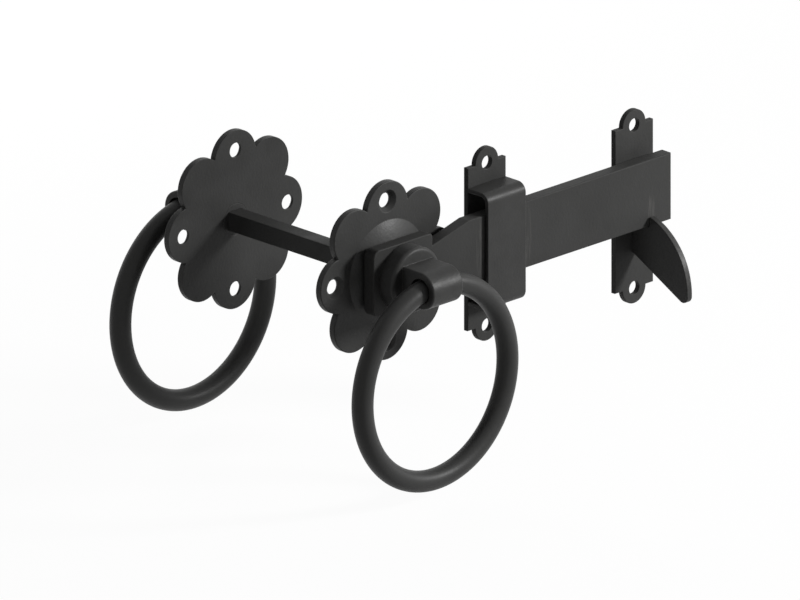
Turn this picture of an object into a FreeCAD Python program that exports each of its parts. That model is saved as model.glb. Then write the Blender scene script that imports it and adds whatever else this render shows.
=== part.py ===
import FreeCAD, Part
import math
import os
import Sketcher
from FreeCAD import Placement, Rotation, Vector

# Ring gate latch. Millimetres, +Z up, +X along the latch arm, -Y out of the gate's front face.
# The origin is on the spindle's axis, in the plane of the gate's front face.

SIZES = {
    # gate and roses
    "gate_thickness": (75, "gate between the two roses"),
    "rose_thickness": (2.5, "plate of a rose"),
    "lobe_count": (8, "lobes round a rose"),
    "lobe_circle": (23.5, "axis to the centre of a lobe"),
    "lobe_radius": (10.5, "outer curve of a lobe"),
    "rose_edge": (0.4, "rounding of a lobe's outer edge"),
    "rose_screw_count": (4, "screws through a rose"),
    "rose_screw_circle": (26.5, "axis to the centre of a screw hole"),
    "rose_screw_hole": (5.6, "diameter of a screw hole"),
    "countersink_width": (8.7, "diameter of its countersink"),
    "dome_base": (38.7, "diameter of the raised centre at the plate"),
    "dome_land": (23, "diameter of its flat top, which the arm turns on"),
    "dome_rise": (2.8, "height of the raised centre"),
    "dome_radius": (42, "curve of its flank"),
    "end_play": (0.2, "between a raised centre and what turns on it"),
    # spindle and its fixings
    "spindle_square": (7, "side of the spindle"),
    "spindle_fit": (0.05, "clearance on each flat of the spindle"),
    "spindle_edge": (0.4, "rounding of the spindle's long edges"),
    "spindle_lead": (0.8, "chamfer at the spindle's ends"),
    "spindle_grip": (7.5, "length of spindle past a collar's seat"),
    "socket_room": (0.5, "space past the spindle's end"),
    "journal_width": (12, "diameter of a boss's journal"),
    "journal_clearance": (0.05, "journal to the rose's bore, on the radius"),
    "pin_width": (3, "diameter of the spindle pin"),
    "pin_beyond": (2.5, "length of pin past the spindle"),
    "pin_recess": (0.6, "pin end below the collar's rim"),
    "grub_width": (4, "diameter of the grub screw"),
    "grub_hexagon": (2, "its socket across flats"),
    "grub_socket_depth": (2.5, "depth of that socket"),
    "grub_recess": (0.6, "grub screw end below the collar's rim"),
    # latch arm
    "arm_thickness": (5, "bar of the arm"),
    "arm_height": (25.4, "height of the bar and of the head"),
    "arm_reach": (136.4, "axis to the arm's end"),
    "head_back": (15, "axis to the head's far end"),
    "head_front": (15, "axis to the shoulder of the neck"),
    "neck_height": (15.8, "height of the neck at the shoulder"),
    "neck_taper": (18.3, "length over which the neck grows to the bar"),
    "head_corner": (3, "corner radius at the head's far end"),
    "shoulder_corner": (1.75, "corner radius at the shoulder"),
    "arm_edge": (0.4, "rounding of the bar's edges"),
    "key_square": (13, "side of the tang that drives the arm"),
    "key_fit": (0.05, "clearance on each flat of the tang"),
    # bosses and rings
    "collar_width": (24.6, "diameter of a boss's collar"),
    "collar_depth": (7.15, "length of the collar"),
    "collar_round": (1.5, "rounding of the collar's outer rim"),
    "lug_width": (15.2, "lug along the ring's hole"),
    "lug_height": (14, "lug across, which is its round end's diameter"),
    "lug_round": (0.7, "rounding of the lug's ends"),
    "ring_standoff": (9, "collar's face to the ring's axis"),
    "ring_radius": (36.9, "centre line of a ring"),
    "ring_rod": (8, "diameter of the ring's rod"),
    "ring_clearance": (0.3, "least space between the rod and its hole"),
    # staple
    "plate_width": (19.4, "width of the staple and catch plates"),
    "plate_height": (62.2, "shoulder to shoulder, which is also the screw spacing"),
    "plate_thickness": (2, "sheet of both plates"),
    "tab_radius": (5.9, "curve of a screw tab"),
    "plate_hole": (5.2, "diameter of a screw hole"),
    "plate_edge": (0.3, "rounding of both plates' outer edges"),
    "staple_reach": (51.1, "axis to the middle of the staple"),
    "bridge_wall": (1.5, "strap of the bridge"),
    "bridge_round": (3.7, "outer bend of the bridge"),
    "bridge_edge": (0.3, "rounding of the strap's edges"),
    "bridge_gap": (0.25, "arm's face to the bridge"),
    "lift_room": (6.5, "space above the arm in the bridge"),
    "drop_room": (9.8, "space below the arm in the bridge"),
    "staple_drop": (1.1, "middle of the bridge down to the middle of its plate"),
    "bridge_tenon": (12, "width of the tenons that hold the bridge"),
    "tenon_fit": (0.03, "clearance round a tenon"),
    # catch
    "catch_inset": (10.3, "arm's end back to the middle of the catch"),
    "floor_drop": (5.3, "middle of the catch plate down to the arm's rest"),
    "rest_gap": (0.05, "arm to the floor of its notch"),
    "hook_thickness": (2.5, "plate of the hook"),
    "hook_gap": (0.4, "arm's face to the hook"),
    "hook_tip": (3.9, "floor of the notch up to the hook's tip"),
    "hook_reach": (27.9, "catch plate out to the nose"),
    "hook_drop": (26.3, "floor of the notch down to the nose"),
    "hook_root": (11.6, "height of the hook at the plate"),
    "ramp_radius": (26.6, "curve of the lifting ramp"),
    "nose_round": (2.6, "rounding of the nose"),
    "tip_round": (0.4, "rounding of the tip"),
    "hook_edge": (0.3, "rounding of the hook's edges"),
    "hook_tenon": (7, "height of the tenon that holds the hook"),
}


class Size:
    """A length with the spreadsheet expression that drives it."""

    def __init__(self, value, text):
        self.value = value
        self.text = text

    def __add__(self, other):
        other = as_size(other)
        return Size(self.value + other.value, f"({self.text} + {other.text})")

    def __sub__(self, other):
        other = as_size(other)
        return Size(self.value - other.value, f"({self.text} - {other.text})")

    def __mul__(self, other):
        other = as_size(other)
        return Size(self.value * other.value, f"({self.text} * {other.text})")

    def __truediv__(self, other):
        other = as_size(other)
        return Size(self.value / other.value, f"({self.text} / {other.text})")

    def __neg__(self):
        return Size(-self.value, f"(-{self.text})")


def as_size(number):
    return number if isinstance(number, Size) else Size(number, str(number))


doc = FreeCAD.newDocument("ring_gate_latch")
sheet = doc.addObject("Spreadsheet::Sheet", "Sizes")
for row, (alias, (number, meaning)) in enumerate(SIZES.items(), start=1):
    sheet.set(f"A{row}", alias)
    sheet.set(f"B{row}", str(number))
    sheet.setAlias(f"B{row}", alias)
    sheet.set(f"C{row}", meaning)
doc.recompute()


def size(alias):
    return Size(float(sheet.get(alias)), f"Sizes.{alias}")


ZERO = as_size(0)
OUT = "XZ_Plane"
SIDE = "YZ_Plane"
LEVEL = "XY_Plane"
HEXAGON_HALF_ANGLE = math.radians(30)


# Helpers for bodies, sketches and features

def new_body(name):
    body = doc.addObject("PartDesign::Body", name)
    body.Label = name
    return body


def place(item, x=ZERO, y=ZERO, z=ZERO, rotation=Rotation()):
    """Sets an object's place from sizes."""
    item.Placement = Placement(Vector(x.value, y.value, z.value), rotation)
    for axis, where in (("x", x), ("y", y), ("z", z)):
        item.setExpression(f"Placement.Base.{axis}", where.text)


def new_sketch(body, name, role, offset=ZERO, up=ZERO):
    """A sketch on one of the body's own planes, moved along that plane's normal and its own y axis."""
    sketch = body.newObject("Sketcher::SketchObject", name)
    plane = next(item for item in body.Origin.OriginFeatures if item.Role == role)
    sketch.AttachmentSupport = [(plane, "")]
    sketch.MapMode = "FlatFace"
    sketch.setExpression("AttachmentOffset.Base.z", offset.text)
    sketch.setExpression("AttachmentOffset.Base.y", up.text)
    return sketch


def hold_point(sketch, geometry, point, x, y):
    """Ties a sketch point to its distances from the sketch's origin."""
    for kind, axis_line, where in (("DistanceX", -2, x), ("DistanceY", -1, y)):
        if where.value == 0:
            sketch.addConstraint(Sketcher.Constraint("PointOnObject", geometry, point, axis_line))
        elif where.value > 0:
            rule = Sketcher.Constraint(kind, -1, 1, geometry, point, where.value)
            sketch.setExpression(f"Constraints[{sketch.addConstraint(rule)}]", where.text)
        else:
            rule = Sketcher.Constraint(kind, geometry, point, -1, 1, -where.value)
            sketch.setExpression(f"Constraints[{sketch.addConstraint(rule)}]", (-where).text)


def hold_radius(sketch, geometry, radius):
    rule = Sketcher.Constraint("Radius", geometry, radius.value)
    sketch.setExpression(f"Constraints[{sketch.addConstraint(rule)}]", radius.text)


def draw_circle(sketch, radius, x=ZERO, y=ZERO):
    circle = Part.Circle(Vector(x.value, y.value, 0), Vector(0, 0, 1), radius.value)
    geometry = sketch.addGeometry(circle)
    hold_point(sketch, geometry, 3, x, y)
    hold_radius(sketch, geometry, radius)


def arc_between(start, end, radius):
    """The arc that runs anticlockwise from start to end, less than half a turn."""
    chord = end - start
    rise = math.sqrt(radius * radius - chord.Length * chord.Length / 4)
    centre = (start + end) / 2 + Vector(-chord.y, chord.x, 0).normalize() * rise
    first = math.atan2(start.y - centre.y, start.x - centre.x)
    last = math.atan2(end.y - centre.y, end.x - centre.x)
    return Part.ArcOfCircle(Part.Circle(centre, Vector(0, 0, 1), radius), first, last)


def draw_outline(sketch, corners, arcs=None):
    """A closed anticlockwise outline. arcs gives the radius of each side that is an outward arc."""
    arcs = arcs or {}
    points = [Vector(x.value, y.value, 0) for x, y in corners]
    sides = []
    for index, start in enumerate(points):
        end = points[(index + 1) % len(points)]
        if index in arcs:
            sides.append(sketch.addGeometry(arc_between(start, end, arcs[index].value)))
        else:
            sides.append(sketch.addGeometry(Part.LineSegment(start, end)))
    for index, side in enumerate(sides):
        after = sides[(index + 1) % len(sides)]
        sketch.addConstraint(Sketcher.Constraint("Coincident", side, 2, after, 1))
    for side, (x, y) in zip(sides, corners):
        hold_point(sketch, side, 1, x, y)
    for index, radius in arcs.items():
        hold_radius(sketch, sides[index], radius)


def draw_rectangle(sketch, left, right, bottom, top):
    draw_outline(sketch, [(left, bottom), (right, bottom), (right, top), (left, top)])


def draw_square(sketch, side):
    half = side / 2
    draw_rectangle(sketch, -half, half, -half, half)


def draw_disc_section(sketch, radius, thick, edge):
    """Half the section of a disc about the sketch's level axis, with a rounded outer edge in front."""
    draw_outline(
        sketch,
        [(-thick, ZERO), (ZERO, ZERO), (ZERO, radius), (edge - thick, radius), (-thick, radius - edge)],
        arcs={3: edge},
    )


def pad(body, sketch, length, side="One side", reverse=False):
    feature = body.newObject("PartDesign::Pad", sketch.Name + "_pad")
    feature.Profile = sketch
    feature.setExpression("Length", length.text)
    feature.SideType = side
    feature.Reversed = reverse
    return feature


def pocket(body, sketch, length=None, side="One side", reverse=False):
    """Cuts to a length, or through everything. Stops if nothing was cut."""
    doc.recompute()
    before = body.Shape.Volume
    feature = body.newObject("PartDesign::Pocket", sketch.Name + "_pocket")
    feature.Profile = sketch
    feature.SideType = side
    feature.Reversed = reverse
    if length is None:
        feature.Type = "ThroughAll"
    else:
        feature.setExpression("Length", length.text)
    doc.recompute()
    if body.Shape.Volume >= before:
        raise RuntimeError(f"{sketch.Name} cuts nothing")
    return feature


def revolve(body, sketch, axis):
    feature = body.newObject("PartDesign::Revolution", sketch.Name + "_revolution")
    feature.Profile = sketch
    feature.ReferenceAxis = (sketch, [axis])
    feature.Angle = 360
    return feature


def repeat_round(body, feature, sketch, count):
    pattern = body.newObject("PartDesign::PolarPattern", feature.Name + "_pattern")
    pattern.Originals = [feature]
    pattern.Axis = (sketch, ["N_Axis"])
    pattern.Angle = 360
    pattern.setExpression("Occurrences", count.text)
    body.Tip = pattern
    return pattern


def lies_at(edge, x=None, y=None, z=None):
    """True where the whole edge has the given coordinates, in the body's own frame."""
    ends = [edge.valueAt(edge.FirstParameter), edge.valueAt(edge.LastParameter)]
    ends.append(edge.valueAt((edge.FirstParameter + edge.LastParameter) / 2))
    for end in ends:
        for place_there, wanted in ((end.x, x), (end.y, y), (end.z, z)):
            if wanted is not None and abs(place_there - wanted.value) > 1e-4:
                return False
    return True


def dress_edges(body, name, kind, wanted):
    """Puts a fillet or chamfer on the edges of the body's last feature that the test picks."""
    doc.recompute()
    last = body.Tip
    names = [f"Edge{n}" for n, edge in enumerate(last.Shape.Edges, start=1) if wanted(edge)]
    if not names:
        raise RuntimeError(f"{name} finds no edge")
    feature = body.newObject(kind, name)
    feature.Base = (last, names)
    return feature


def round_edges(body, name, radius, wanted):
    dress_edges(body, name, "PartDesign::Fillet", wanted).setExpression("Radius", radius.text)


def chamfer_edges(body, name, width, wanted):
    dress_edges(body, name, "PartDesign::Chamfer", wanted).setExpression("Size", width.text)


# Levels out from the gate's face, shared by the pieces

arm_back = size("rose_thickness") + size("dome_rise") + size("end_play")
arm_front = arm_back + size("arm_thickness")
ring_out = size("collar_depth") + size("ring_standoff")
collar_radius = size("collar_width") / 2
pin_out = size("collar_depth") / 2
half_spindle = size("spindle_square") / 2
half_arm = size("arm_height") / 2
ring_sag = size("lug_width") * size("lug_width") / (size("ring_radius") * 8)
turned = Rotation(Vector(0, 0, 1), 180)


# Roses

def make_rose(name):
    """A lobed plate with a raised centre. Its gate side is the plane y = 0, its outside faces -Y."""
    body = new_body(name)
    thick = size("rose_thickness")

    disc = new_sketch(body, name + "_disc", OUT)
    draw_circle(disc, size("lobe_circle"))
    pad(body, disc, thick)

    lobe = new_sketch(body, name + "_lobe", SIDE, offset=size("lobe_circle"))
    draw_disc_section(lobe, size("lobe_radius"), thick, size("rose_edge"))
    repeat_round(body, revolve(body, lobe, "H_Axis"), disc, size("lobe_count"))

    dome = new_sketch(body, name + "_dome", LEVEL)
    top = thick + size("dome_rise")
    base_edge = (size("dome_base") / 2, -thick)
    land_edge = (size("dome_land") / 2, -top)
    draw_outline(
        dome,
        [(ZERO, -thick), (ZERO, -top), land_edge, base_edge],
        arcs={2: size("dome_radius")},
    )
    revolve(body, dome, "V_Axis")

    bore = new_sketch(body, name + "_bore", OUT, offset=top)
    draw_circle(bore, size("journal_width") / 2 + size("journal_clearance"))
    pocket(body, bore)

    screw = new_sketch(body, name + "_screw", OUT, offset=thick)
    draw_circle(screw, size("rose_screw_hole") / 2, x=size("rose_screw_circle"))
    doc.recompute()
    hole = body.newObject("PartDesign::Hole", name + "_screw_hole")
    hole.Profile = screw
    hole.DepthType = "ThroughAll"
    hole.setExpression("Diameter", size("rose_screw_hole").text)
    hole.HoleCutType = "Countersink"
    hole.setExpression("HoleCutDiameter", size("countersink_width").text)
    hole.HoleCutCountersinkAngle = 90
    repeat_round(body, hole, screw, size("rose_screw_count"))
    return body


front_rose = make_rose("front_rose")
place(front_rose)
back_rose = make_rose("back_rose")
place(back_rose, y=size("gate_thickness"), rotation=turned)


# Latch arm

def make_arm(name):
    """The flat bar: head, stepped neck and blade. Its back is the plane y = 0."""
    body = new_body(name)
    back = -size("head_back")
    step = size("head_front")
    full = step + size("neck_taper")
    end = size("arm_reach")
    neck = size("neck_height") / 2

    profile = new_sketch(body, name + "_profile", OUT)
    lower = [(back, -half_arm), (step, -half_arm), (step, -neck), (full, -half_arm), (end, -half_arm)]
    upper = [(x, -z) for x, z in reversed(lower)]
    draw_outline(profile, lower + upper)
    thick = size("arm_thickness")
    pad(body, profile, thick)

    def far_corner(edge):
        return lies_at(edge, x=back, z=half_arm) or lies_at(edge, x=back, z=-half_arm)

    def shoulder_corner(edge):
        return lies_at(edge, x=step, z=half_arm) or lies_at(edge, x=step, z=-half_arm)

    round_edges(body, name + "_far_corners", size("head_corner"), far_corner)
    round_edges(body, name + "_shoulders", size("shoulder_corner"), shoulder_corner)

    def outline(edge):
        return lies_at(edge, y=ZERO) or lies_at(edge, y=-thick)

    round_edges(body, name + "_edges", size("arm_edge"), outline)

    key = new_sketch(body, name + "_key", OUT, offset=thick)
    draw_square(key, size("key_square") + size("key_fit") * 2)
    pocket(body, key)
    return body


latch_arm = make_arm("latch_arm")
place(latch_arm, y=-arm_back)


# Bosses, each a collar with a lug for the ring in front and a journal behind

def make_boss(name, journal_length, tang_length=None):
    """The collar's seat is the plane y = 0, the lug points to -Y and the journal to +Y."""
    body = new_body(name)
    depth = size("collar_depth")
    half_lug = size("lug_height") / 2

    collar = new_sketch(body, name + "_collar", OUT)
    draw_circle(collar, collar_radius)
    pad(body, collar, depth)
    round_edges(body, name + "_rim", size("collar_round"), lambda edge: lies_at(edge, y=-depth))

    web = new_sketch(body, name + "_web", SIDE)
    draw_rectangle(web, -ring_out, -depth / 2, -half_lug, half_lug)
    pad(body, web, size("lug_width"), side="Symmetric")
    eye = new_sketch(body, name + "_eye", SIDE)
    draw_circle(eye, half_lug, x=-ring_out)
    pad(body, eye, size("lug_width"), side="Symmetric")

    if tang_length:
        tang = new_sketch(body, name + "_tang", OUT)
        draw_square(tang, size("key_square"))
        pad(body, tang, tang_length, reverse=True)
    journal = new_sketch(body, name + "_journal", OUT)
    draw_circle(journal, size("journal_width") / 2)
    pad(body, journal, journal_length, reverse=True)

    end_x = size("lug_width") / 2

    def lug_end(edge):
        on_end = lies_at(edge, x=end_x) or lies_at(edge, x=-end_x)
        return on_end and not lies_at(edge, y=-depth)

    round_edges(body, name + "_lug_ends", size("lug_round"), lug_end)

    hole = new_sketch(body, name + "_ring_hole", SIDE)
    draw_circle(hole, size("ring_rod") / 2 + ring_sag / 2 + size("ring_clearance"), x=-ring_out)
    pocket(body, hole, side="Symmetric")

    socket = new_sketch(body, name + "_socket", OUT, offset=-journal_length)
    draw_square(socket, size("spindle_square") + size("spindle_fit") * 2)
    pocket(body, socket, journal_length + size("spindle_grip") + size("socket_room"), reverse=True)
    return body


def drill_from_below(body, name, top, width):
    """A hole up from under the collar, as far as the given height."""
    hole = new_sketch(body, name, LEVEL, offset=top)
    draw_circle(hole, width / 2, y=-pin_out)
    pocket(body, hole)


pin_top = half_spindle + size("pin_beyond")

front_boss = make_boss("front_boss", arm_front, tang_length=size("arm_thickness"))
drill_from_below(front_boss, "front_boss_pin_hole", pin_top, size("pin_width"))
place(front_boss, y=-arm_front)

back_boss = make_boss("back_boss", arm_back)
drill_from_below(back_boss, "back_boss_grub_hole", ZERO, size("grub_width"))
place(back_boss, y=size("gate_thickness") + arm_back, rotation=turned)


# Spindle, with the pin's cross hole

front_end = arm_front + size("spindle_grip")
back_end = size("gate_thickness") + arm_back + size("spindle_grip")

spindle = new_body("spindle")
section = new_sketch(spindle, "spindle_section", OUT, offset=-back_end)
draw_square(section, size("spindle_square"))
pad(spindle, section, back_end + front_end)


def spindle_corner(edge):
    sides = [(x, z) for x in (half_spindle, -half_spindle) for z in (half_spindle, -half_spindle)]
    return any(lies_at(edge, x=x, z=z) for x, z in sides)


def spindle_end(edge):
    return lies_at(edge, y=-front_end) or lies_at(edge, y=back_end)


chamfer_edges(spindle, "spindle_leads", size("spindle_lead"), spindle_end)
round_edges(spindle, "spindle_edges", size("spindle_edge"), spindle_corner)
cross_hole = new_sketch(spindle, "spindle_cross_hole", LEVEL)
draw_circle(cross_hole, size("pin_width") / 2, y=-(arm_front + pin_out))
pocket(spindle, cross_hole, side="Symmetric")
place(spindle)

pin_bottom = collar_radius - size("pin_recess")
spindle_pin = doc.addObject("Part::Cylinder", "spindle_pin")
spindle_pin.Label = "spindle_pin"
spindle_pin.setExpression("Radius", (size("pin_width") / 2).text)
spindle_pin.setExpression("Height", (pin_bottom + pin_top).text)
place(spindle_pin, y=-(arm_front + pin_out), z=-pin_bottom)


# Grub screw, turned up against the spindle's underside

grub_screw = new_body("grub_screw")
grub_length = collar_radius - size("grub_recess") - half_spindle
shank = new_sketch(grub_screw, "grub_shank", LEVEL)
draw_circle(shank, size("grub_width") / 2)
pad(grub_screw, shank, grub_length)
hexagon = new_sketch(grub_screw, "grub_hexagon", LEVEL)
flat = size("grub_hexagon") / 2
long_corner = flat / math.cos(HEXAGON_HALF_ANGLE)
short_corner = long_corner / 2
draw_outline(
    hexagon,
    [
        (long_corner, ZERO),
        (short_corner, flat),
        (-short_corner, flat),
        (-long_corner, ZERO),
        (-short_corner, -flat),
        (short_corner, -flat),
    ],
)
pocket(grub_screw, hexagon, size("grub_socket_depth"), reverse=True)
place(
    grub_screw,
    y=size("gate_thickness") + arm_back + pin_out,
    z=-(collar_radius - size("grub_recess")),
)


# Rings, hung so that the rod's bow is centred in its hole

def make_ring(name, y):
    ring = doc.addObject("Part::Torus", name)
    ring.Label = name
    ring.setExpression("Radius1", size("ring_radius").text)
    ring.setExpression("Radius2", (size("ring_rod") / 2).text)
    place(ring, y=y, z=ring_sag / 2 - size("ring_radius"), rotation=Rotation(Vector(1, 0, 0), 90))
    return ring


front_ring = make_ring("front_ring", -(arm_front + ring_out))
back_ring = make_ring("back_ring", size("gate_thickness") + arm_back + ring_out)


# Staple and catch plates

def make_plate(name):
    """A plate with a screw tab at each end. Its gate side is the plane y = 0."""
    body = new_body(name)
    half_width = size("plate_width") / 2
    half_height = size("plate_height") / 2
    thick = size("plate_thickness")
    blank = new_sketch(body, name + "_blank", OUT)
    draw_rectangle(blank, -half_width, half_width, -half_height, half_height)
    pad(body, blank, thick)
    round_edges(body, name + "_edges", size("plate_edge"), lambda edge: lies_at(edge, y=-thick))

    holes = new_sketch(body, name + "_holes", OUT, offset=thick)
    for end, height in (("upper", half_height), ("lower", -half_height)):
        tab = new_sketch(body, f"{name}_{end}_tab", SIDE, up=height)
        draw_disc_section(tab, size("tab_radius"), thick, size("plate_edge"))
        revolve(body, tab, "H_Axis")
        draw_circle(holes, size("plate_hole") / 2, y=height)
    pocket(body, holes)
    return body


def cut_slot(body, name, half_width, bottom, top):
    """A mortise for a tenon, with its clearance all round."""
    fit = size("tenon_fit")
    slot = new_sketch(body, name, OUT, offset=size("plate_thickness"))
    draw_rectangle(slot, -half_width - fit, half_width + fit, bottom - fit, top + fit)
    pocket(body, slot)


bridge_z = (size("lift_room") - size("drop_room")) / 2
inner_half = half_arm + (size("lift_room") + size("drop_room")) / 2
outer_half = inner_half + size("bridge_wall")
half_tenon = size("bridge_tenon") / 2

staple_plate = make_plate("staple_plate")
drop = size("staple_drop")
cut_slot(staple_plate, "staple_upper_slot", half_tenon, drop + inner_half, drop + outer_half)
cut_slot(staple_plate, "staple_lower_slot", half_tenon, drop - outer_half, drop - inner_half)
place(staple_plate, x=size("staple_reach"), z=bridge_z - drop)


def make_bridge(name):
    """A strap bent over the arm, with a tenon at each foot. The gate's face is the plane y = 0."""
    body = new_body(name)
    foot = size("plate_thickness")
    inside = arm_front + size("bridge_gap")
    outside = inside + size("bridge_wall")

    strap = new_sketch(body, name + "_strap", SIDE)
    draw_outline(
        strap,
        [
            (-foot, outer_half),
            (-outside, outer_half),
            (-outside, -outer_half),
            (-foot, -outer_half),
            (-foot, -inner_half),
            (-inside, -inner_half),
            (-inside, inner_half),
            (-foot, inner_half),
        ],
    )
    pad(body, strap, size("plate_width"), side="Symmetric")

    def outer_bend(edge):
        return lies_at(edge, y=-outside, z=outer_half) or lies_at(edge, y=-outside, z=-outer_half)

    def inner_bend(edge):
        return lies_at(edge, y=-inside, z=inner_half) or lies_at(edge, y=-inside, z=-inner_half)

    round_edges(body, name + "_outer_bends", size("bridge_round"), outer_bend)
    round_edges(body, name + "_inner_bends", size("bridge_round") - size("bridge_wall"), inner_bend)

    half_width = size("plate_width") / 2

    def strap_edge(edge):
        on_side = lies_at(edge, x=half_width) or lies_at(edge, x=-half_width)
        return on_side and not lies_at(edge, y=-foot)

    round_edges(body, name + "_edges", size("bridge_edge"), strap_edge)

    tenons = new_sketch(body, name + "_tenons", OUT)
    draw_rectangle(tenons, -half_tenon, half_tenon, inner_half, outer_half)
    draw_rectangle(tenons, -half_tenon, half_tenon, -outer_half, -inner_half)
    pad(body, tenons, foot)
    return body


staple_bridge = make_bridge("staple_bridge")
place(staple_bridge, x=size("staple_reach"), z=bridge_z)


# Catch hook: a plate on edge with a notch for the arm and a ramp that lifts it

catch_x = size("arm_reach") - size("catch_inset")
catch_z = size("floor_drop") - half_arm
floor = -(size("floor_drop") + size("rest_gap"))
tenon_middle = floor - size("hook_root") / 2
tenon_top = tenon_middle + size("hook_tenon") / 2
tenon_bottom = tenon_middle - size("hook_tenon") / 2

catch_plate = make_plate("catch_plate")
cut_slot(catch_plate, "catch_slot", size("hook_thickness") / 2, tenon_bottom, tenon_top)
place(catch_plate, x=catch_x, z=catch_z)


def make_hook(name):
    """Profile in the YZ plane, with the gate's face at y = 0 and the nose at -Y."""
    body = new_body(name)
    foot = -size("plate_thickness")
    upright = -(arm_front + size("hook_gap"))
    tip = floor + size("hook_tip")
    nose_y = foot - size("hook_reach")
    nose_z = floor - size("hook_drop")
    root = floor - size("hook_root")

    profile = new_sketch(body, name + "_profile", SIDE)
    draw_outline(
        profile,
        [
            (upright, tip),
            (nose_y, nose_z),
            (foot, root),
            (foot, tenon_bottom),
            (ZERO, tenon_bottom),
            (ZERO, tenon_top),
            (foot, tenon_top),
            (foot, floor),
            (upright, floor),
        ],
        arcs={0: size("ramp_radius")},
    )
    pad(body, profile, size("hook_thickness"), side="Symmetric")
    round_edges(body, name + "_nose", size("nose_round"), lambda edge: lies_at(edge, y=nose_y, z=nose_z))
    round_edges(body, name + "_tip", size("tip_round"), lambda edge: lies_at(edge, y=upright, z=tip))
    notch_round = size("arm_edge") + size("rest_gap")
    round_edges(body, name + "_notch", notch_round, lambda edge: lies_at(edge, y=upright, z=floor))

    side = size("hook_thickness") / 2

    def outline(edge):
        on_side = lies_at(edge, x=side) or lies_at(edge, x=-side)
        return on_side and edge.CenterOfMass.y < foot.value - 1e-4

    round_edges(body, name + "_edges", size("hook_edge"), outline)
    return body


catch_hook = make_hook("catch_hook")
place(catch_hook, x=catch_x, z=catch_z)


# Check everything, then write one file for each piece

PIECES = [
    front_rose,
    back_rose,
    latch_arm,
    front_boss,
    back_boss,
    spindle,
    spindle_pin,
    grub_screw,
    front_ring,
    back_ring,
    staple_plate,
    staple_bridge,
    catch_plate,
    catch_hook,
]

doc.recompute()
for item in doc.Objects:
    if "Invalid" in item.State or "Error" in item.State:
        raise RuntimeError(f"{item.Name} failed: {item.State}")
for piece in PIECES:
    if piece.Shape.isNull() or not piece.Shape.isValid() or len(piece.Shape.Solids) != 1:
        raise RuntimeError(f"{piece.Label} is not one valid solid")

os.makedirs("parts", exist_ok=True)
for piece in PIECES:
    piece.Shape.exportStep(os.path.join("parts", piece.Label + ".step"))
    box = piece.Shape.optimalBoundingBox()
    print(
        f"{piece.Label}: {piece.Shape.Volume:.1f} mm3,"
        f" x {box.XMin:.2f} to {box.XMax:.2f},"
        f" y {box.YMin:.2f} to {box.YMax:.2f},"
        f" z {box.ZMin:.2f} to {box.ZMax:.2f}"
    )
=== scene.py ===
import math
import bmesh
import bpy
from mathutils import Matrix, Vector


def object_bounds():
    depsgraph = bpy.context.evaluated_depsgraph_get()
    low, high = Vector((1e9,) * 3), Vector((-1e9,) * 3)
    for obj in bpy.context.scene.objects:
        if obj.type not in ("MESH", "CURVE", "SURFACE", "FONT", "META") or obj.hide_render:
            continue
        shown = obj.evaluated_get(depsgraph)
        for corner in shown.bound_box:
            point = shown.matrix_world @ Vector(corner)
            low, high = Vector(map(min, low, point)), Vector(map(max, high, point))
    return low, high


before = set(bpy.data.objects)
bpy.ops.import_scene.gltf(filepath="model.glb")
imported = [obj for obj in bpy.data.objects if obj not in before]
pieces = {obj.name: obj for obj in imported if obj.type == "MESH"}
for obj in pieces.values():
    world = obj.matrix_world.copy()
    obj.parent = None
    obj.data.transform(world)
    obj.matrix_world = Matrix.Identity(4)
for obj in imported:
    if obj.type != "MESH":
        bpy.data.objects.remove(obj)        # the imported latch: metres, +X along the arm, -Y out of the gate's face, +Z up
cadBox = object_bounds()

scene = bpy.context.scene
print("latch loaded:", len(pieces), "pieces")


# Small helpers for node trees

def addNode(tree, kind, **settings):
    node = tree.nodes.new(kind)
    for name, value in settings.items():
        setattr(node, name, value)
    return node


def feed(tree, socket, value):
    # value is another node's output to link, or a plain number, vector or colour
    if isinstance(value, bpy.types.NodeSocket):
        tree.links.new(value, socket)
    else:
        socket.default_value = value


def plug(tree, node, **values):
    # inputs are named as in the editor, without spaces
    for name, value in values.items():
        socket = next(s for s in node.inputs if s.name.replace(" ", "") == name and s.enabled)
        feed(tree, socket, value)


def noise(tree, coords, size, detail):
    # size is the width of one blotch, in metres
    node = addNode(tree, "ShaderNodeTexNoise", noise_dimensions="3D")
    plug(tree, node, Vector=coords, Scale=1 / size, Detail=detail)
    return node.outputs["Fac"]


def spread(tree, value, low, high, start=0.3, end=0.7):
    # a soft step from low to high; a noise lies mostly between the start and end given here
    node = addNode(tree, "ShaderNodeMapRange", interpolation_type="SMOOTHSTEP")
    plug(tree, node, Value=value, FromMin=start, FromMax=end, ToMin=low, ToMax=high)
    return node.outputs["Result"]


def stretch(tree, coords, scale, shift=(0, 0, 0)):
    node = addNode(tree, "ShaderNodeMapping")
    plug(tree, node, Vector=coords, Scale=scale, Location=shift)
    return node.outputs["Vector"]


def combine(tree, operation, first, second):
    node = addNode(tree, "ShaderNodeMath", operation=operation)
    feed(tree, node.inputs[0], first)
    feed(tree, node.inputs[1], second)
    return node.outputs["Value"]


def alike(tree, first, second):
    # the cosine of the angle between two directions
    node = addNode(tree, "ShaderNodeVectorMath", operation="DOT_PRODUCT")
    feed(tree, node.inputs[0], first)
    feed(tree, node.inputs[1], second)
    return node.outputs["Value"]


def blendColour(tree, factor, first, second):
    node = addNode(tree, "ShaderNodeMix", data_type="RGBA")
    plug(tree, node, Factor=factor, A=first, B=second)
    return next(s for s in node.outputs if s.enabled)


def mixShaders(tree, factor, first, second):
    node = addNode(tree, "ShaderNodeMixShader")
    for socket, value in zip(node.inputs, (factor, first.outputs[0], second.outputs[0])):
        tree.links.new(value, socket)
    return node.outputs["Shader"]


def newTree(name):
    material = bpy.data.materials.new(name)
    material.use_nodes = True
    material.node_tree.nodes.clear()
    return material, material.node_tree


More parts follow.
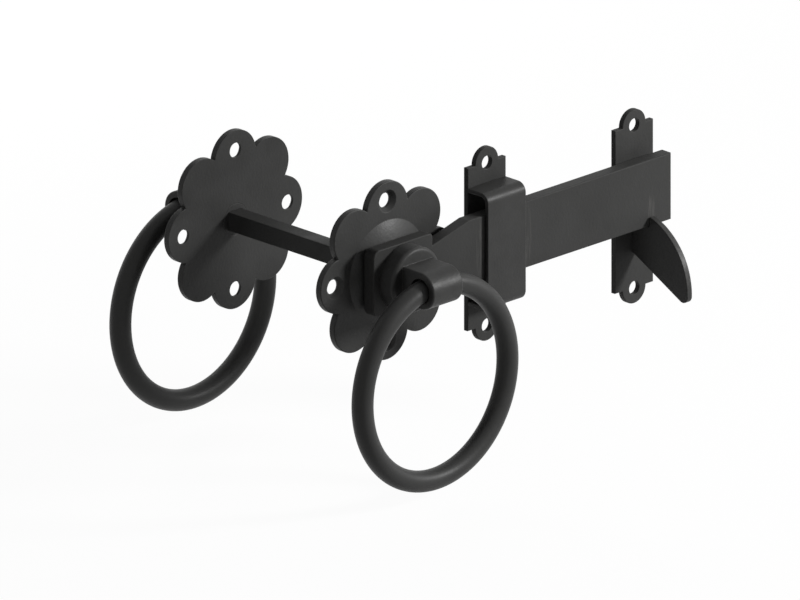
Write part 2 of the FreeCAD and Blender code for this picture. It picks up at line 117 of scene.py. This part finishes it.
# Satin black coating: baked-on powder over steel, with its fine orange peel and thin, worn edges

def rubbedPlaces(tree, coords, normal, look):
    # one inside each soft oval where another piece slides, on the side that faces it, zero elsewhere
    rubbed = 0.0
    faint, full = look["rubFacing"]
    for centre, reach, side in look["rubs"]:
        oval = stretch(tree, coords, [1 / r for r in reach], [-c / r for c, r in zip(centre, reach)])
        away = addNode(tree, "ShaderNodeVectorMath", operation="LENGTH")
        tree.links.new(oval, away.inputs[0])
        inside = spread(tree, away.outputs["Value"], 1.0, 0.0, start=look["rubCore"], end=1.0)
        facing = spread(tree, alike(tree, normal, side), 0.0, 1.0, start=faint, end=full)
        rubbed = combine(tree, "MAXIMUM", rubbed, combine(tree, "MULTIPLY", inside, facing))
    return rubbed


def satinCoat(name, look):
    material, tree = newTree(name)
    own = addNode(tree, "ShaderNodeTexCoord")
    coords = own.outputs["Object"]

    rounded = addNode(tree, "ShaderNodeBevel", samples=6)
    plug(tree, rounded, Radius=look["edge"])
    flat = addNode(tree, "ShaderNodeNewGeometry").outputs["Normal"]
    sharp, slight = look["edgeTurn"]
    edge = spread(tree, alike(tree, rounded.outputs["Normal"], flat), 1.0, 0.0, start=sharp, end=slight)
    whole, worn = look["wearRange"]
    patchy = spread(tree, noise(tree, coords, look["wearPatch"], detail=4.0), 0.0, 1.0, start=whole, end=worn)
    wear = combine(tree, "MULTIPLY", combine(tree, "MULTIPLY", edge, patchy), look["wear"])
    if look["rubs"]:
        clear, scratched = look["scuffRange"]
        scuffs = noise(tree, stretch(tree, coords, look["scuffStretch"]), look["scuff"], detail=5.0)
        scuffs = spread(tree, scuffs, 0.0, 1.0, start=clear, end=scratched)
        rubbed = rubbedPlaces(tree, coords, own.outputs["Normal"], look)    # this normal turns with the piece
        rubbed = combine(tree, "MULTIPLY", rubbed, scuffs)
        wear = combine(tree, "MAXIMUM", wear, combine(tree, "MULTIPLY", rubbed, look["rubWear"]))

    mottle = noise(tree, coords, look["mottle"], detail=3.0)
    shade = blendColour(tree, spread(tree, mottle, 0.0, 1.0), look["deep"], look["pale"])
    colour = blendColour(tree, wear, shade, look["bare"])

    grain = noise(tree, coords, look["grain"], detail=1.0)
    gloss = spread(tree, mottle, look["smooth"], look["dull"])
    gloss = combine(tree, "ADD", gloss, spread(tree, grain, -look["sparkle"], look["sparkle"]))
    gloss = combine(tree, "SUBTRACT", gloss, combine(tree, "MULTIPLY", wear, look["burnish"]))

    skin = noise(tree, stretch(tree, coords, look["stretch"]), look["skin"], detail=1.5)
    skinBump = addNode(tree, "ShaderNodeBump")
    plug(tree, skinBump, Height=skin, Distance=look["skinDepth"], Normal=rounded.outputs["Normal"])
    peel = noise(tree, coords, look["peel"], detail=1.0)
    peelBump = addNode(tree, "ShaderNodeBump")
    plug(tree, peelBump, Height=peel, Distance=look["peelDepth"], Normal=skinBump.outputs["Normal"])

    shader = addNode(tree, "ShaderNodeBsdfPrincipled")
    plug(tree, shader, BaseColor=colour, Roughness=gloss, Normal=peelBump.outputs["Normal"],
         SpecularIORLevel=look["specular"], Metallic=look["metal"])
    output = addNode(tree, "ShaderNodeOutputMaterial")
    plug(tree, output, Surface=shader.outputs["BSDF"])
    return material


def dress(names, material):
    for name in names:
        slots = pieces[name].data.materials
        slots.clear()
        slots.append(material)
    print("finished in", material.name + ":", ", ".join(names))


# widths and depths are in metres
coat = {
    "deep": (0.040, 0.040, 0.039, 1),
    "pale": (0.047, 0.047, 0.046, 1),
    "bare": (0.125, 0.122, 0.117, 1),
    "mottle": 0.016,
    "smooth": 0.54,                    # roughness, from the glossier blotches to the duller ones
    "dull": 0.62,
    "grain": 0.0003,
    "sparkle": 0.03,                   # how much the fine grain changes the gloss
    "peel": 0.0011,
    "peelDepth": 0.00005,
    "skin": 0.006,                     # the metal's own waves, under the peel
    "skinDepth": 0.00002,
    "stretch": (1, 1, 1),              # below one where rolling or drawing left the waves long
    "edge": 0.0004,
    "edgeTurn": (0.80, 0.995),         # lean of the rounded normal as a cosine: most worn, then not worn
    "wear": 0.55,
    "wearPatch": 0.004,
    "wearRange": (0.38, 0.72),         # patch noise where an edge starts to wear, and where it is most worn
    "burnish": 0.15,
    "rubs": [],                        # centre, reach and facing side of each place where a piece slides
    "rubCore": 0.45,                   # share of the reach before a rub starts to fade
    "rubFacing": (0.3, 0.8),           # cosines to the facing side where a rub starts, and where it is full
    "rubWear": 0.34,
    "scuff": 0.0006,
    "scuffStretch": (1, 1, 0.06),      # scuffs run up and down, as the arm moves
    "scuffRange": (0.40, 0.66),
    "specular": 0.13,
    "metal": 0.0,
}
# the coat flows out glossier over bends, domes and rounds than on flat bar and sheet
sheen = {"smooth": 0.42, "dull": 0.50, "specular": 0.18}

# Roses: thin plates with a raised centre, and the slow waves that the press leaves
roseCoat = {**coat, **sheen, "mottle": 0.012, "skin": 0.009, "skinDepth": 0.00003}
dress(["front_rose", "back_rose"], satinCoat("rosePressing", roseCoat))

# Plates of the staple and the catch: flat sheet
plateCoat = {**coat, "mottle": 0.010, "skin": 0.012, "wearPatch": 0.003}
dress(["staple_plate", "catch_plate"], satinCoat("platePressing", plateCoat))

# Bridge and hook: the hook is rubbed by the arm on its ramp and in its notch
strapCoat = {
    **coat,
    **sheen,
    "specular": 0.15,
    "mottle": 0.008,
    "rubs": [
        ((0.1261, -0.0185, -0.016), (0.003, 0.009, 0.009), (0, -0.7, 0.7)),
        ((0.1261, -0.0275, -0.028), (0.003, 0.004, 0.009), (0, -0.9, 0.4)),
        ((0.1261, -0.0080, -0.0128), (0.003, 0.006, 0.0012), (0, 0, 1)),
    ],
}
dress(["staple_bridge", "catch_hook"], satinCoat("strapPressing", strapCoat))

# Arm: rolled flat bar with long faint waves, scuffed beside the bridge and where it drops into the hook
armCoat = {
    **coat,
    "mottle": 0.020,
    "stretch": (0.12, 1, 1),
    "skin": 0.005,
    "skinDepth": 0.00004,
    "rubs": [
        ((0.1261, -0.0105, -0.0080), (0.0026, 0.002, 0.009), (0, -1, 0)),
        ((0.1261, -0.0080, -0.0127), (0.0030, 0.004, 0.002), (0, 0, -1)),
        ((0.0625, -0.0105, 0.0), (0.0035, 0.002, 0.016), (0, -1, 0)),
        ((0.0395, -0.0105, 0.0), (0.0030, 0.002, 0.015), (0, -1, 0)),
    ],
}
dress(["latch_arm"], satinCoat("rolledBar", armCoat))

# Bosses keep the pebbled skin of their casting under the coat
bossCoat = {**coat, **sheen, "mottle": 0.007, "skin": 0.0018, "skinDepth": 0.00005, "wearPatch": 0.0025}
dress(["front_boss", "back_boss"], satinCoat("bossCasting", bossCoat))

# Rings: smooth round rod, polished by hands and by the eye that they hang in
ringCoat = {
    **coat,
    **sheen,
    "peelDepth": 0.00003,
    "rubs": [
        ((0.0, -0.02665, 0.0), (0.016, 0.006, 0.008), (0, 0, -1)),
        ((0.0, 0.09665, 0.0), (0.016, 0.006, 0.008), (0, 0, -1)),
    ],
    "scuffStretch": (1, 0.3, 1),
}
dress(["front_ring", "back_ring"], satinCoat("ringRod", ringCoat))

# Spindle: drawn square bar with lines along its length
spindleCoat = {**coat, "stretch": (1, 0.06, 1), "skin": 0.0010, "skinDepth": 0.00003, "smooth": 0.46}
dress(["spindle"], satinCoat("spindleBar", spindleCoat))

# Pin and grub screw: black oxide on bare steel
fixingCoat = {**coat, "metal": 0.8, "smooth": 0.34, "dull": 0.46, "peelDepth": 0.000004}
dress(["spindle_pin", "grub_screw"], satinCoat("blackedSteel", fixingCoat))


# Camera: parallel view from the front left, a little from above

viewpoint = {
    "azimuth": -45.0,
    "elevation": 19.63,
    "frameWidth": 0.288,
    "aimRight": 0.00624,      # from the spindle's axis to the middle of the picture
    "aimUp": -0.01118,
    "distance": 0.9,
}


def placeCamera(look):
    azimuth = math.radians(look["azimuth"])
    elevation = math.radians(look["elevation"])
    right = Vector((math.cos(azimuth), math.sin(azimuth), 0))
    back = Vector((
        math.sin(azimuth) * math.cos(elevation),
        -math.cos(azimuth) * math.cos(elevation),
        math.sin(elevation),
    ))
    up = back.cross(right)
    aim = right * look["aimRight"] + up * look["aimUp"]
    camera = bpy.data.objects.new("camera", bpy.data.cameras.new("camera"))
    camera.data.type = "ORTHO"
    camera.data.ortho_scale = look["frameWidth"]
    turn = Matrix((right, up, back)).transposed().to_4x4()
    camera.matrix_world = Matrix.Translation(aim + back * look["distance"]) @ turn
    scene.collection.objects.link(camera)
    scene.camera = camera


placeCamera(viewpoint)
print("camera placed")


# Floor, world and lamps

studio = {
    "floorBelow": 0.004,      # gap under the rings
    "floorSize": 6.0,
    "floorColour": (0.55, 0.55, 0.55, 1),
    "floorWhite": 0.90,       # share of plain white in what is seen, the rest is matt and takes the shadow
    "floorGlow": 1.06,        # makes up for the matt share, so that the lit floor is as white as the world
    "worldColour": (1, 1, 1, 1),
    "worldLevel": 0.07,
}


def seenRay(tree):
    # one where the camera, a reflection or a refraction looks at the surface
    path = addNode(tree, "ShaderNodeLightPath")
    seen = combine(tree, "MAXIMUM", path.outputs["Is Camera Ray"], path.outputs["Is Glossy Ray"])
    return combine(tree, "MAXIMUM", seen, path.outputs["Is Transmission Ray"])


def layFloor(look):
    sheet = bmesh.new()
    level = Matrix.Translation((0, 0, cadBox[0][2] - look["floorBelow"]))
    bmesh.ops.create_grid(sheet, x_segments=1, y_segments=1, size=look["floorSize"] / 2, matrix=level)
    mesh = bpy.data.meshes.new("floor")
    sheet.to_mesh(mesh)
    sheet.free()
    floor = bpy.data.objects.new("floor", mesh)
    scene.collection.objects.link(floor)
    material, tree = newTree("paleFloor")
    matt = addNode(tree, "ShaderNodeBsdfDiffuse")
    plug(tree, matt, Color=look["floorColour"])
    white = addNode(tree, "ShaderNodeEmission")
    plug(tree, white, Strength=look["floorGlow"])
    share = combine(tree, "MULTIPLY", seenRay(tree), look["floorWhite"])
    output = addNode(tree, "ShaderNodeOutputMaterial")
    plug(tree, output, Surface=mixShaders(tree, share, matt, white))
    mesh.materials.append(material)


def lightWorld(look):
    world = bpy.data.worlds.new("studio")
    scene.world = world
    world.use_nodes = True
    tree = world.node_tree
    tree.nodes.clear()
    soft = addNode(tree, "ShaderNodeBackground")
    plug(tree, soft, Color=look["worldColour"], Strength=look["worldLevel"])
    white = addNode(tree, "ShaderNodeBackground")
    plug(tree, white, Color=look["worldColour"])
    output = addNode(tree, "ShaderNodeOutputWorld")
    plug(tree, output, Surface=mixShaders(tree, seenRay(tree), soft, white))


keyLamp = {"from": (0.56, -0.64, 0.36), "watts": 7.6, "size": 0.2, "glints": True}
# shows the gate side and the back rose, with no glints on the edges that the camera sees against it
backLamp = {"from": (0.30, 0.85, 0.16), "watts": 7.0, "size": 0.5, "glints": False}


def hangLamp(name, look):
    lamp = bpy.data.lights.new(name, "AREA")
    lamp.energy = look["watts"]
    lamp.shape = "DISK"
    lamp.size = look["size"]
    holder = bpy.data.objects.new(name, lamp)
    holder.visible_glossy = look["glints"]
    middle = (cadBox[0] + cadBox[1]) / 2
    place = Vector(look["from"])
    turn = place.to_track_quat("Z", "Y").to_matrix().to_4x4()
    holder.matrix_world = Matrix.Translation(middle + place) @ turn
    scene.collection.objects.link(holder)


layFloor(studio)
lightWorld(studio)
hangLamp("keyLamp", keyLamp)
hangLamp("backLamp", backLamp)
scene.view_settings.view_transform = "Standard"
print("floor, world and lamps set")
